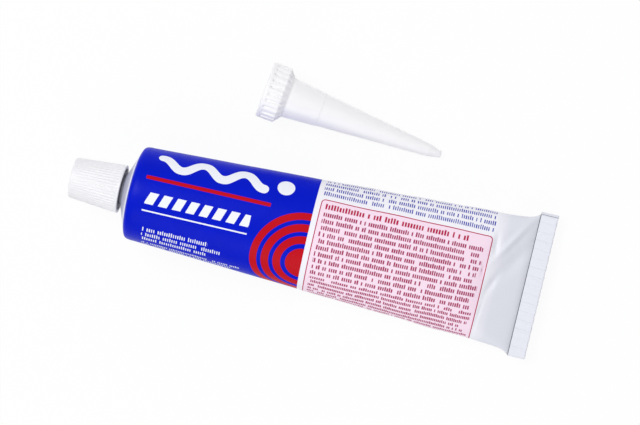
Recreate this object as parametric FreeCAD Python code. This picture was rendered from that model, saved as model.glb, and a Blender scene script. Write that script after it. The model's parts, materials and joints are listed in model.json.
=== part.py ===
import FreeCAD, Part
import math
import os

# A folded metal tube of sealant with its screw cap on, and its loose nozzle beside it.
# Everything lies on one flat surface at z = 0, with the printed side of the tube up.
# X runs from the cap towards the folded tail, Y across the tube, Z up. Sizes are in millimetres.
# "Station" is the distance from the shoulder's rim towards the tail.
# "Reach" is the distance from the shoulder's rim outwards, along the neck's own axis.

V = FreeCAD.Vector

# Sizes of the tube's body
body_diameter = 32.0          # round end of the body, and its shoulder
rigid_length = 3.0            # stretch beside the shoulder that stays round
skin_step = 0.05              # how far the thin body sits inside the stiff round stretch
fold_station = 133.5          # where the body ends at the fold
pressed_edge_loss = 1.35      # by how much the fold is narrower than half the way round
flat_thickness = 0.4          # the two walls pressed together at the fold
side_taper = 0.101            # how much wider the body gets for each millimetre of station
flare_run = 2.0               # how quickly the last widening fades away from the fold
fullness_power = 0.4          # how slowly the height falls while the tube is full
tail_run = 4.0                # how quickly the fullness ends at the fold
side_fullness = 1.0           # how much squarer than an ellipse the last sections are
resting_station = 90.0        # the underside lies on the surface up to here
flat_spot_depth = 0.3         # how much of the soft underside is pressed flat
flat_spot_run = 25.0          # over which the flat spot sets in beside the stiff end

# Sizes of the pressed facet above the fold
facet_slope_deg = 27.0        # fall of the facet towards the fold
facet_side_slope = 0.015      # fall of the facet towards one side

# Sizes of the folded band
band_width = 6.0
band_overlap = 0.15           # how far the band reaches back over the body's end
lower_layer = 0.9             # thickness of the pressed walls in the band
upper_layer = 0.6             # thickness that the fold adds on top
corrugation_count = 16
corrugation_depth = 0.3
corrugation_crest = 0.3       # width of each narrow crest
corrugation_valley = 1.7      # width of each flat valley
lower_layer_overhang = 0.8    # how far the lower layer shows past the upper one

# Sizes of the shoulder and the neck
shoulder_slope_deg = 21.0
rim_radius = 2.0
neck_radius = 4.8             # at the root of the thread
neck_length = 9.65            # from the shoulder to the mouth
neck_edge = 0.4
mouth_radius = 3.2
mouth_depth = 1.0             # down to the closed membrane

# Sizes of the thread
thread_pitch = 2.5
thread_height = 0.7           # from the neck's root to the thread's crest
thread_root_width = 1.3
thread_crest_width = 0.6
thread_start = 1.6            # from the shoulder's top to the thread
thread_end = 1.1              # from the thread to the mouth
thread_sink = 0.25            # how deep each ridge is rooted in its wall

# Clearances between the thread and what screws on it
crest_clearance = 0.35        # from the neck's crest to the bore outside it
root_clearance = 0.2          # from the neck's root to the inner ridge's crest
seat_gap = 0.1                # on each flat side of the liner

# Sizes of the screw cap
cap_base_diameter = 16.5
cap_end_diameter = 13.65
cap_length = 17.3
cap_gap = 1.75                # from the shoulder to the cap's lower edge
cap_edge = 0.5
cap_lip_width = 1.15
cap_lip_depth = 1.6
cap_collar = 0.9              # smooth stretch at the cap's base
cap_plain_end = 1.2           # smooth stretch at the cap's end
cap_groove_count = 48
cap_groove_depth = 0.28
cap_groove_end_depth = 0.1   # where the grooves fade towards the cap's end
cap_groove_width = 0.5
cap_roof = 2.35               # thickness between the liner and the recess
recess_radius = 4.6           # round the piercing point in the cap's end
point_radius = 1.7
point_tip_radius = 0.35
point_below_end = 0.6

# Sizes of the liner
liner_thickness = 1.0
liner_side_gap = 0.25         # from the liner's edge to the cap's bore

# Sizes of the nozzle
nozzle_collar_diameter = 19.1
nozzle_collar_length = 6.1
nozzle_chamfer_length = 2.2
nozzle_cone_base = 13.8
nozzle_cone_end = 4.3
nozzle_cone_station = 58.6    # where the long cone ends
nozzle_tip_diameter = 2.1
nozzle_length = 63.0
nozzle_step_station = 20.0
nozzle_step = 0.15
nozzle_groove_count = 24
nozzle_groove_depth = 0.7
nozzle_groove_width = 0.9
nozzle_plain_rim = 1.5
nozzle_wall = 1.15            # of the cone beside the socket
nozzle_passage_end = 0.8      # radius of the passage at its closed end
nozzle_closed_end = 3.0       # solid tip that is cut off before use
nozzle_ridge_start = 2.0      # from the open end to the inner ridge
nozzle_ridge_end = 2.4        # from the inner ridge to the socket's end
nozzle_seat_gap = 0.3         # past the mouth when the nozzle is screwed down

# Place of the nozzle beside the tube
nozzle_x = 34.0               # from the rim to the nozzle's open end
nozzle_distance = 27.75       # from the side of the round end to the nozzle's axis
nozzle_turn_deg = -7.7

# Sizes worked out from the ones above
body_radius = body_diameter / 2
fold_width = math.pi * body_radius - pressed_edge_loss
shoulder_slope = math.tan(math.radians(shoulder_slope_deg))
shoulder_top = (body_radius - neck_radius) * shoulder_slope
mouth_reach = shoulder_top + neck_length
thread_radius = neck_radius + thread_height
bore_radius = thread_radius + crest_clearance
inner_crest_radius = neck_radius + root_clearance
cap_base_radius = cap_base_diameter / 2
cap_end_radius = cap_end_diameter / 2
cap_base_reach = (body_radius - cap_base_radius) * shoulder_slope + cap_gap
cap_end_reach = cap_base_reach + cap_length
liner_reach = mouth_reach + seat_gap
roof_reach = liner_reach + liner_thickness + seat_gap
thread_low = shoulder_top + thread_start
thread_high = mouth_reach - thread_end
nozzle_radius = nozzle_collar_diameter / 2
nozzle_socket_depth = mouth_reach - (body_radius - nozzle_radius) * shoulder_slope + nozzle_seat_gap
nozzle_chamfer_end = nozzle_collar_length + nozzle_chamfer_length

slope_step = 0.01             # short run that the slope of a curve is measured over


def body_height(station):
    """Height of the body, from full and round at the shoulder to pressed flat at the fold."""
    left = max(0.0, fold_station - station)
    share = min(1.0, left / (fold_station - rigid_length))
    closing = 1 - math.exp(-left / tail_run)
    return flat_thickness + (body_diameter - flat_thickness) * share ** fullness_power * closing


def body_width(station):
    """Width of the body, which grows as it is pressed flatter, and flares out at the fold."""
    straight = body_diameter + side_taper * max(0.0, station - rigid_length)
    straight_at_fold = body_diameter + side_taper * (fold_station - rigid_length)
    flare = (fold_width - straight_at_fold) * math.exp(-(fold_station - station) / flare_run)
    return straight + flare


def lying_centre(station):
    """Height of the body's middle line where the underside is pressed flat on the surface."""
    share = min(1.0, max(0.0, (station - rigid_length) / flat_spot_run))
    return body_height(station) / 2 - flat_spot_depth * share ** 2 * (3 - 2 * share)


def centre_height(station):
    """Height of the body's middle line, carried on straight past both ends of the lying stretch."""
    lying = min(max(station, rigid_length), resting_station)
    inner = max(lying, rigid_length + slope_step)
    slope = (lying_centre(inner) - lying_centre(inner - slope_step)) / slope_step
    return lying_centre(lying) + slope * (station - lying)


def centre_slope(station):
    return (centre_height(station + slope_step) - centre_height(station - slope_step)) / (2 * slope_step)


neck_tilt = math.atan(-centre_slope(0))
rim_centre = V(0, 0, centre_height(0))
neck_axis = V(-math.cos(neck_tilt), 0, math.sin(neck_tilt))
neck_place = FreeCAD.Placement(rim_centre, FreeCAD.Rotation(V(0, 1, 0), math.degrees(neck_tilt) - 90))


def revolved(points):
    """A solid of revolution about Z from points given as (radius, height)."""
    corners = [V(radius, 0, height) for radius, height in points]
    face = Part.Face(Part.makePolygon(corners + [corners[0]]))
    return face.revolve(V(0, 0, 0), V(0, 0, 1), 360)


def arc_points(centre, radius, start_deg, end_deg, steps=6):
    """Points along a rounded corner of a profile, as (radius, height)."""
    angles = [start_deg + (end_deg - start_deg) * k / steps for k in range(steps + 1)]
    return [(centre[0] + radius * math.cos(math.radians(a)),
             centre[1] + radius * math.sin(math.radians(a))) for a in angles]


def helix_ridge(wall_radius, crest_radius, start, end):
    """A thread ridge rooted in a wall, pointing out of a neck or into a bore."""
    outward = 1 if crest_radius > wall_radius else -1
    root = wall_radius - outward * thread_sink
    points = [V(root, 0, -thread_root_width / 2), V(crest_radius, 0, -thread_crest_width / 2),
              V(crest_radius, 0, thread_crest_width / 2), V(root, 0, thread_root_width / 2)]
    profile = Part.makePolygon(points + [points[0]])
    path = Part.Wire(Part.makeHelix(thread_pitch, end - start, wall_radius))
    ridge = path.makePipeShell([profile], True, True)
    ridge.translate(V(0, 0, start))
    return ridge


def groove_ring(count, wall, depth, width):
    """Cutters for a ring of lengthwise grooves in a wall about Z, given as (height, radius) places.
    Each groove's floor is half as wide as its mouth, and its cutter reaches out past the wall."""
    def outline(height, radius):
        floor = radius - depth
        outside = radius + depth
        return Part.makePolygon([V(floor, -width / 4, height), V(outside, -width * 0.75, height),
                                 V(outside, width * 0.75, height), V(floor, width / 4, height),
                                 V(floor, -width / 4, height)])
    cutter = Part.makeLoft([outline(height, radius) for height, radius in wall], True, True)
    cutters = []
    for index in range(count):
        copy = cutter.copy()
        copy.rotate(V(0, 0, 0), V(0, 0, 1), 360.0 * index / count)
        cutters.append(copy)
    return cutters


# Tube: body, shoulder, neck and folded tail, one closed piece of metal with its filling

pole_count = 32


def body_section(station, half_width, half_height, squareness):
    """Poles of a closed smooth outline across the body, square to its middle line.
    The outline runs inside its poles, so they stand out by the swell that makes up for it."""
    lean = math.atan(centre_slope(station))
    swell = 3 / (2 + math.cos(2 * math.pi / pole_count))
    poles = []
    for index in range(pole_count):
        angle = 2 * math.pi * index / pole_count
        across = math.cos(angle)
        up = math.sin(angle)
        y = math.copysign(abs(across) ** (2 / squareness), across) * half_width * swell
        z = math.copysign(abs(up) ** (2 / squareness), up) * half_height * swell
        poles.append(V(station - z * math.sin(lean), y, centre_height(station) + z * math.cos(lean)))
    return poles


def skinned(sections):
    """A closed solid with one smooth skin over its sections and a flat face at each end."""
    row_count = len(sections)
    along = [4] + [1] * (row_count - 4) + [4]
    around = [1] * (pole_count + 1)
    surface = Part.BSplineSurface()
    surface.buildFromPolesMultsKnots(sections, along, around, [float(k) for k in range(len(along))],
                                     [float(k) for k in range(len(around))], False, True, 3, 3)
    side = surface.toShape()
    ends = [Part.Face(Part.Wire(edge)) for edge in side.Edges if edge.isClosed()]
    shell = Part.makeShell([side] + ends)
    shell.sewShape()
    return Part.Solid(Part.Shell(shell.Faces))


def make_body():
    round_radius = body_radius - skin_step
    sections = [body_section(station, round_radius, round_radius, 2)
                for station in (rigid_length - 1.0, rigid_length)]
    soft_length = fold_station - rigid_length
    shares = [0.05, 0.11, 0.2, 0.33, 0.46, 0.58, 0.68, 0.77, 0.84, 0.895, 0.935, 0.962, 0.98, 0.991, 1]
    for share in shares:
        station = rigid_length + share * soft_length
        sections.append(body_section(station, body_width(station) / 2, body_height(station) / 2,
                                     2 + side_fullness * share ** 4))
    below = Part.makeBox(2 * fold_station, 2 * fold_width, body_diameter,
                         V(-fold_station / 2, -fold_width, -body_diameter))
    return skinned(sections).cut(below).cut(facet_cutter())


def facet_cutter():
    """The block above the flat facet that falls to the fold."""
    fall = math.tan(math.radians(facet_slope_deg))
    up = V(fall, -facet_side_slope, 1)
    foot = V(fold_station, 0, centre_height(fold_station) + flat_thickness / 2)
    side = 2 * fold_width
    block = Part.makeBox(side, side, side, V(-side / 2, -side / 2, 0))
    block.Placement = FreeCAD.Placement(foot, FreeCAD.Rotation(V(0, 0, 1), up))
    return block


def wave_height(y):
    """Height of the corrugations at one place across the tube."""
    pitch = fold_width / corrugation_count
    off_crest = abs(y / pitch - round(y / pitch)) * pitch
    flank = (pitch - corrugation_crest - corrugation_valley) / 2
    fall = (off_crest - corrugation_crest / 2) / flank
    return corrugation_depth * (0.5 - min(1.0, max(0.0, fall)))


def wave_points(height, start, end):
    """Corners of one corrugated edge of the band's section, from start to end across the tube."""
    pitch = fold_width / corrugation_count
    corners = []
    for index in range(-corrugation_count, corrugation_count + 1):
        crest = index * pitch
        valley = crest + pitch / 2
        corners += [crest - corrugation_crest / 2, crest + corrugation_crest / 2,
                    valley - corrugation_valley / 2, valley + corrugation_valley / 2]
    low = min(start, end)
    high = max(start, end)
    places = [low] + [y for y in corners if low < y < high] + [high]
    if start > end:
        places.reverse()
    return [V(0, y, height + wave_height(y)) for y in places]


def make_band():
    """The folded and corrugated band, one layer on top of the other."""
    half = fold_width / 2
    low = -lower_layer / 2
    middle = lower_layer / 2
    top = middle + upper_layer
    outline = (wave_points(low, -half, half + lower_layer_overhang)
               + wave_points(middle, half + lower_layer_overhang, half)
               + wave_points(top, half, -half))
    slope = centre_slope(fold_station)
    along = V(1, 0, slope).normalize()
    section = Part.Face(Part.makePolygon(outline + [outline[0]]))
    band = section.extrude(along * (band_width + band_overlap))
    band.translate(V(fold_station, 0, centre_height(fold_station)) - along * band_overlap)
    return band


def make_shoulder():
    """The stiff round end with its shoulder, its neck and the closed mouth."""
    turn = 90 - shoulder_slope_deg
    back = rim_radius * math.tan(math.radians(turn / 2))
    rim = arc_points((body_radius - rim_radius, -back), rim_radius, 0, turn)
    profile = [(0, -rigid_length), (body_radius, -rigid_length)] + rim + [
        (neck_radius, shoulder_top),
        (neck_radius, mouth_reach - neck_edge),
        (neck_radius - neck_edge, mouth_reach),
        (mouth_radius, mouth_reach),
        (mouth_radius, mouth_reach - mouth_depth),
        (0, mouth_reach - mouth_depth)]
    thread = helix_ridge(neck_radius, thread_radius, thread_low, thread_high)
    shoulder = revolved(profile).fuse(thread)
    shoulder.Placement = neck_place
    return shoulder


def make_tube():
    return make_body().fuse([make_shoulder(), make_band()])


# Screw cap: a tapered, grooved cap with a threaded bore and a piercing point in its end

def cap_radius_at(reach):
    share = (reach - cap_base_reach) / cap_length
    return cap_base_radius + (cap_end_radius - cap_base_radius) * share


def make_cap():
    recess_floor = roof_reach + cap_roof
    end_edge = arc_points((cap_radius_at(cap_end_reach - cap_edge) - cap_edge, cap_end_reach - cap_edge),
                          cap_edge, 0, 90)
    profile = [(cap_base_radius, cap_base_reach)] + end_edge + [
        (recess_radius, cap_end_reach),
        (recess_radius, recess_floor),
        (point_radius, recess_floor),
        (point_tip_radius, cap_end_reach - point_below_end),
        (0, cap_end_reach - point_below_end),
        (0, roof_reach),
        (bore_radius, roof_reach),
        (bore_radius, cap_base_reach + cap_lip_depth),
        (cap_base_radius - cap_lip_width, cap_base_reach + cap_lip_depth),
        (cap_base_radius - cap_lip_width, cap_base_reach)]
    low = cap_base_reach + cap_collar
    high = cap_end_reach - cap_plain_end
    # The wall that the grooves follow stands out at its end, so they grow shallower towards it
    wall = [(low, cap_radius_at(low)), (high, cap_radius_at(high) + cap_groove_depth - cap_groove_end_depth)]
    grooves = groove_ring(cap_groove_count, wall, cap_groove_depth, cap_groove_width)
    # The inner ridge runs half a pitch away from the neck's ridge
    lowest = cap_base_reach + cap_lip_depth + thread_root_width / 2
    turns_up = math.ceil((lowest - thread_low) / thread_pitch - 0.5) + 0.5
    ridge = helix_ridge(bore_radius, inner_crest_radius, thread_low + turns_up * thread_pitch,
                        mouth_reach - thread_root_width / 2)
    cap = revolved(profile).cut(grooves).fuse(ridge)
    cap.Placement = neck_place
    return cap


# Liner: the soft disc between the cap's roof and the tube's mouth

def make_liner():
    liner = Part.makeCylinder(bore_radius - liner_side_gap, liner_thickness, V(0, 0, liner_reach))
    liner.Placement = neck_place.multiply(liner.Placement)
    return liner


# Nozzle: a grooved, threaded collar and a long cone with a closed tip

def nozzle_radius_at(station):
    share = (station - nozzle_chamfer_end) / (nozzle_cone_station - nozzle_chamfer_end)
    return (nozzle_cone_base + (nozzle_cone_end - nozzle_cone_base) * share) / 2


def make_nozzle():
    step_radius = nozzle_radius_at(nozzle_step_station)
    profile = [
        (bore_radius, 0),
        (nozzle_radius, 0),
        (nozzle_radius, nozzle_collar_length),
        (nozzle_cone_base / 2, nozzle_chamfer_end),
        (step_radius, nozzle_step_station),
        (step_radius - nozzle_step, nozzle_step_station),
        (nozzle_cone_end / 2, nozzle_cone_station),
        (nozzle_tip_diameter / 2, nozzle_length),
        (0, nozzle_length),
        (0, nozzle_length - nozzle_closed_end),
        (nozzle_passage_end, nozzle_length - nozzle_closed_end),
        (nozzle_radius_at(nozzle_socket_depth) - nozzle_wall, nozzle_socket_depth),
        (bore_radius, nozzle_socket_depth)]
    # The grooves run down the chamfer and come out on the cone
    wall = [(nozzle_plain_rim, nozzle_radius), (nozzle_collar_length, nozzle_radius),
            (nozzle_chamfer_end, nozzle_cone_base / 2 + nozzle_groove_depth)]
    grooves = groove_ring(nozzle_groove_count, wall, nozzle_groove_depth, nozzle_groove_width)
    ridge = helix_ridge(bore_radius, inner_crest_radius, nozzle_ridge_start,
                        nozzle_socket_depth - nozzle_ridge_end)
    nozzle = revolved(profile).cut(grooves).fuse(ridge)
    lean = math.atan((nozzle_radius - nozzle_cone_end / 2) / (nozzle_cone_station - nozzle_collar_length))
    height = nozzle_collar_length * math.sin(lean) + nozzle_radius * math.cos(lean)
    turn = FreeCAD.Rotation(V(0, 0, 1), nozzle_turn_deg)
    tip_down = FreeCAD.Rotation(V(0, 1, 0), 90 + math.degrees(lean))
    nozzle.Placement = FreeCAD.Placement(V(nozzle_x, body_radius + nozzle_distance, height),
                                         turn.multiply(tip_down))
    return nozzle


def main():
    pieces = {
        "tube_body": make_tube(),
        "screw_cap": make_cap(),
        "cap_liner": make_liner(),
        "nozzle": make_nozzle()}
    # The origin is the middle of the underside of everything together
    box = Part.makeCompound(list(pieces.values())).optimalBoundingBox(False)
    shift = V(-(box.XMin + box.XMax) / 2, -(box.YMin + box.YMax) / 2, 0)
    os.makedirs("parts", exist_ok=True)
    for name, piece in pieces.items():
        piece.translate(shift)
        piece.exportStep("parts/" + name + ".step")
        print(name, piece.isValid(), len(piece.Solids), round(piece.Volume, 1))
    print("size", round(box.XLength, 3), round(box.YLength, 3), round(box.ZMax, 3), "lowest", round(box.ZMin, 4))
    print("rim centre", rim_centre + shift, "neck axis", neck_axis, "tilt", math.degrees(neck_tilt))


main()
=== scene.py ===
import json
import math
import bpy
import numpy as np
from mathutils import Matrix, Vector


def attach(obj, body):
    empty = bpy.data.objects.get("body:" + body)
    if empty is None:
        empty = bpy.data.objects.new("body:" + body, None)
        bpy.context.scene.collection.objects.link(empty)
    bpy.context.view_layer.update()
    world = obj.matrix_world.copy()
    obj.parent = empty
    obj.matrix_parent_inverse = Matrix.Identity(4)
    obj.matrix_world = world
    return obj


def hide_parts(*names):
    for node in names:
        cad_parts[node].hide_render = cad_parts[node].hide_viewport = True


# The looks of a folded metal tube of sealant, its screw cap and its loose nozzle.
# Meshes are worked out in millimetres, in the frame's own directions, and written in metres.
# "Station" is the distance from the shoulder's rim towards the tail.
# "Reach" is the distance outwards along the axis of a turned piece.
# "Turn" is the angle round that axis, from the piece's up direction towards its side direction.

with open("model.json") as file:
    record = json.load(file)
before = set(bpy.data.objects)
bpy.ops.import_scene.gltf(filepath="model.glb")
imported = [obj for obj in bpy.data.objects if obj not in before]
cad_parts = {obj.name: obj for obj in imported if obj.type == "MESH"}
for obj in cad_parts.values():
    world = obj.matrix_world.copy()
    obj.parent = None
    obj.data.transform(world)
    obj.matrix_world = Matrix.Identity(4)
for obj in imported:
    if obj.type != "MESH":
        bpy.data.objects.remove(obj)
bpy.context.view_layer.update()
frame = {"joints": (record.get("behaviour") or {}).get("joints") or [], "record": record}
MM = 0.001

# Sizes of the tube's body, as in its solid
BODY_RADIUS = 16.0
RIGID_LENGTH = 3.0
FOLD_STATION = 133.5
PRESSED_EDGE_LOSS = 1.35
FOLD_WIDTH = math.pi * BODY_RADIUS - PRESSED_EDGE_LOSS
FLAT_THICKNESS = 0.4
SIDE_TAPER = 0.101
FLARE_RUN = 2.0
FULLNESS_POWER = 0.4
TAIL_RUN = 4.0
RESTING_STATION = 90.0
FLAT_SPOT_DEPTH = 0.3
FLAT_SPOT_RUN = 25.0
FACET_FALL = math.tan(math.radians(27.0))
FACET_SIDE_SLOPE = 0.015
FACET_CREASE = 0.5
SLOPE_STEP = 0.01

# Sizes of the folded band
BAND_WIDTH = 6.0
LOWER_LAYER = 0.9
UPPER_LAYER = 0.6
CORRUGATION_COUNT = 16
CORRUGATION_DEPTH = 0.3
CORRUGATION_CREST = 0.3
CORRUGATION_VALLEY = 1.7
CORRUGATION_SLANT = 0.05
LEAST_CREST_SHARE = 0.55
STRIP_TILT = 0.08
LOWER_OVERHANG = 0.8
LOWER_ROUNDING = 0.3
UPPER_ROUNDING = 0.25
UPPER_SETBACK = 0.15
RAGGED_WAVES = ((0.06, 2.1, 0.0), (0.04, 5.3, 1.0))
RAGGED_SETBACK = 0.13

# Sizes of the shoulder, the neck and its thread
SHOULDER_SLOPE = math.tan(math.radians(21.0))
RIM_ROUNDING = 2.0
RIM_DRAW = 0.3
RIM_DRAW_RUN = 0.6 * RIGID_LENGTH
RIM_DRAW_ROUNDING = 6.0
NECK_RADIUS = 4.8
NECK_LENGTH = 9.65
MOUTH_RADIUS = 3.2
MOUTH_DEPTH = 1.0
THREAD_PITCH = 2.5
THREAD_HEIGHT = 0.7
THREAD_ROOT_WIDTH = 1.3
THREAD_CREST_WIDTH = 0.6
THREAD_START = 1.6
THREAD_END = 1.1
THREAD_FADE_TURNS = 0.12
CREST_CLEARANCE = 0.35
ROOT_CLEARANCE = 0.2
BORE_RADIUS = NECK_RADIUS + THREAD_HEIGHT + CREST_CLEARANCE
INNER_CREST_RADIUS = NECK_RADIUS + ROOT_CLEARANCE

# Sizes of the screw cap and its liner
CAP_BASE_RADIUS = 8.25
CAP_END_RADIUS = 6.825
CAP_LENGTH = 17.3
CAP_GAP = 1.75
CAP_LIP_WIDTH = 1.15
CAP_LIP_DEPTH = 1.6
CAP_COLLAR = 0.9
CAP_PLAIN_END = 1.2
CAP_GROOVES = 48
CAP_GROOVE_DEPTH = 0.28
CAP_GROOVE_END_DEPTH = 0.06
CAP_GROOVE_WIDTH = 0.5
CAP_GROOVE_END_RUN = 0.6
CAP_ROOF = 2.35
RECESS_RADIUS = 4.6
POINT_RADIUS = 1.7
POINT_TIP_RADIUS = 0.35
POINT_BELOW_END = 0.6
LINER_THICKNESS = 1.0
LINER_SIDE_GAP = 0.25
LINER_RADIUS = BORE_RADIUS - LINER_SIDE_GAP
SEAT_GAP = 0.1

# Sizes of the nozzle
NOZZLE_RADIUS = 9.55
NOZZLE_COLLAR = 6.1
NOZZLE_CHAMFER = 2.2
NOZZLE_CHAMFER_END = NOZZLE_COLLAR + NOZZLE_CHAMFER
NOZZLE_CONE_BASE = 6.9
NOZZLE_CONE_TOP = 2.15
NOZZLE_CONE_END = 58.6
NOZZLE_TIP_RADIUS = 1.05
NOZZLE_LENGTH = 63.0
NOZZLE_STEP_AT = 20.0
NOZZLE_STEP = 0.15
NOZZLE_STEP_RUN = 0.2
NOZZLE_GROOVES = 24
NOZZLE_GROOVE_DEPTH = 0.7
NOZZLE_GROOVE_WIDTH = 0.9
NOZZLE_GROOVE_END_RUN = 0.8
NOZZLE_PLAIN_RIM = 1.5
NOZZLE_WALL = 1.15
NOZZLE_PASSAGE_END = 0.8
NOZZLE_CLOSED_END = 3.0
NOZZLE_RIDGE_START = 2.0
NOZZLE_RIDGE_END = 2.4
NOZZLE_SEAT_GAP = 0.3

# Places worked out from the sizes above and from the frame
SHOULDER_TOP = (BODY_RADIUS - NECK_RADIUS) * SHOULDER_SLOPE
MOUTH_REACH = SHOULDER_TOP + NECK_LENGTH
CAP_BASE_REACH = (BODY_RADIUS - CAP_BASE_RADIUS) * SHOULDER_SLOPE + CAP_GAP
CAP_END_REACH = CAP_BASE_REACH + CAP_LENGTH
ROOF_REACH = MOUTH_REACH + SEAT_GAP + LINER_THICKNESS + SEAT_GAP
NECK_THREAD = (SHOULDER_TOP + THREAD_START, MOUTH_REACH - THREAD_END)
HALF_ROUND = math.pi * BODY_RADIUS
SOCKET_DEPTH = MOUTH_REACH - (BODY_RADIUS - NOZZLE_RADIUS) * SHOULDER_SLOPE + NOZZLE_SEAT_GAP

# Millimetres of print for each unit of the surface's plan
PLAN_SCALE = 100.0
# Radius at which a profile's end is closed by a fan of faces
FAN_RADIUS = 0.1
MEMBRANE_FAN_RADIUS = 0.6

joint = {j["name"]: j for j in frame["joints"]}["cap_turn"]
socket_mount = {m["name"]: m for m in frame["record"]["mounts"]}["nozzle_socket"]
RIM_CENTRE = np.array(joint["pos_m"]) / MM
OUTWARD = np.array(joint["axis"])


# Helpers for meshes

def smooth(value):
    """A soft step from 0 to 1."""
    t = np.clip(value, 0, 1)
    return t * t * (3 - 2 * t)


def blend_low(a, b, run):
    """The lower of two heights, with a soft crease of that run between them."""
    share = np.clip(0.5 + 0.5 * (b - a) / run, 0, 1)
    return b + (a - b) * share - run * share * (1 - share)


def mesh_from(name, points, faces, uv=None):
    """An object of that name, from points in millimetres and faces between them."""
    mesh = bpy.data.meshes.new(name)
    mesh.from_pydata([tuple(p) for p in np.asarray(points) * MM], [], faces)
    if uv is not None:
        layer = mesh.uv_layers.new(name="print_plan")
        layer.data.foreach_set("uv", np.asarray(uv, np.float32).ravel())
    mesh.shade_smooth()
    mesh.update()
    piece = bpy.data.objects.new(name, mesh)
    bpy.context.scene.collection.objects.link(piece)
    return piece


def tube_mesh(name, rows, plan=None):
    """A closed skin over rows of points that each go round. Both ends are closed by a fan of faces.
    The plan gives each row's places in the print, with the first column once more at its end."""
    row_count, columns, _ = rows.shape
    points = np.concatenate([rows.reshape(-1, 3), [rows[0].mean(0), rows[-1].mean(0)]])
    corner = np.arange(columns)
    beside = (corner + 1) % columns
    faces = []
    uv = []
    for row in range(row_count - 1):
        low = row * columns
        high = low + columns
        faces += np.stack([low + corner, low + beside, high + beside, high + corner], 1).tolist()
        if plan is not None:
            quad = [plan[row, :-1], plan[row, 1:], plan[row + 1, 1:], plan[row + 1, :-1]]
            uv.append(np.stack(quad, 1).reshape(-1, 2))
    for row, centre, order in ((0, len(points) - 2, 1), (row_count - 1, len(points) - 1, -1)):
        low = row * columns
        fan = np.stack([np.full(columns, centre), low + beside, low + corner], 1)[:, ::order]
        faces += fan.tolist()
        if plan is not None:
            uv.append(np.tile(plan[row].mean(0), (3 * columns, 1)))
    return mesh_from(name, points, faces, np.concatenate(uv) if uv else None)


def rounded_outline(corners, spacing, steps):
    """A profile through (radius, reach, rounding) corners: points, and the number of the run each is on.
    A corner may end with a spacing of its own, for the run that starts there."""
    cuts = []
    for index, corner in enumerate(corners):
        here = np.array(corner[:2], float)
        if index in (0, len(corners) - 1) or corner[2] == 0:
            cuts.append([here])
            continue
        back = np.array(corners[index - 1][:2]) - here
        ahead = np.array(corners[index + 1][:2]) - here
        back_length, ahead_length = np.hypot(*back), np.hypot(*ahead)
        back, ahead = back / back_length, ahead / ahead_length
        half = math.acos(np.clip(back @ ahead, -1, 1)) / 2
        along = min(corner[2] / math.tan(half), 0.48 * back_length, 0.48 * ahead_length)
        radius = along * math.tan(half)
        bisector = (back + ahead) / np.linalg.norm(back + ahead)
        centre = here + bisector * radius / math.sin(half)
        start = here + back * along - centre
        end = here + ahead * along - centre
        sweep = math.pi - 2 * half
        arc = [(math.sin(sweep * (1 - t)) * start + math.sin(sweep * t) * end) / math.sin(sweep)
               for t in np.linspace(0, 1, steps + 1)]
        cuts.append([centre + point for point in arc])
    points, runs = [], []
    for index, cut in enumerate(cuts):
        for point in cut:
            points.append(point)
            runs.append(index)
        if index + 1 < len(cuts):
            start, end = cut[-1], cuts[index + 1][0]
            own = corners[index][3] if len(corners[index]) > 3 else spacing
            count = max(1, round(np.hypot(*(end - start)) / own))
            for k in range(1, count):
                points.append(start + (end - start) * k / count)
                runs.append(index)
    return np.array(points), np.array(runs)


class Turning:
    """Where the points of a turned piece lie: its origin, its axis, and its up and side directions."""

    def __init__(self, origin, axis, up):
        self.origin, self.axis, self.up = origin, axis, up
        self.side = np.cross(axis, up)

    def rings(self, radius, reach, turn):
        """Points at those radii, one row for each reach and one column for each turn."""
        out = self.up * np.cos(turn)[..., None] + self.side * np.sin(turn)[..., None]
        return self.origin + self.axis * reach[..., None] + out * radius[..., None]


NECK_TURNING = Turning(RIM_CENTRE, OUTWARD, np.array([OUTWARD[2], 0, -OUTWARD[0]]))


def turned_places(outline, columns):
    """The radius, reach and turn of each point of a profile that is turned round in that many columns."""
    turn = np.repeat(np.arange(columns)[None, :] * 2 * math.pi / columns, len(outline), 0)
    return np.repeat(outline[:, :1], columns, 1), np.repeat(outline[:, 1:], columns, 1), turn


def ridge(reach, turn, start, end):
    """How much of a thread's ridge is at each place, from 0 in its root to 1 on its crest."""
    turns = turn / (2 * math.pi)
    nearest = np.round((reach - start) / THREAD_PITCH - turns)
    wound = nearest + turns
    off = np.abs((reach - start) / THREAD_PITCH - turns - nearest) * THREAD_PITCH
    slope = (THREAD_ROOT_WIDTH - THREAD_CREST_WIDTH) / 2
    height = smooth((THREAD_ROOT_WIDTH / 2 - off) / slope)
    total = (end - start) / THREAD_PITCH
    return height * smooth(wound / THREAD_FADE_TURNS) * smooth((total - wound) / THREAD_FADE_TURNS)


# Tube

COLUMNS = 256
OUTLINE_SAMPLES = 3001
column_share = np.arange(COLUMNS) / COLUMNS
column_turn = 2 * math.pi * (column_share - 0.5)


def body_height(station):
    left = np.maximum(0.0, FOLD_STATION - station)
    share = np.minimum(1.0, left / (FOLD_STATION - RIGID_LENGTH))
    closing = 1 - np.exp(-left / TAIL_RUN)
    return FLAT_THICKNESS + (2 * BODY_RADIUS - FLAT_THICKNESS) * share ** FULLNESS_POWER * closing


def body_width(station):
    straight = 2 * BODY_RADIUS + SIDE_TAPER * np.maximum(0.0, station - RIGID_LENGTH)
    at_fold = 2 * BODY_RADIUS + SIDE_TAPER * (FOLD_STATION - RIGID_LENGTH)
    return straight + (FOLD_WIDTH - at_fold) * np.exp(-(FOLD_STATION - station) / FLARE_RUN)


def lying_centre(station):
    """Height of the body's middle where its underside rests, with the flat spot."""
    share = smooth((station - RIGID_LENGTH) / FLAT_SPOT_RUN)
    return body_height(station) / 2 - FLAT_SPOT_DEPTH * share


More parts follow.
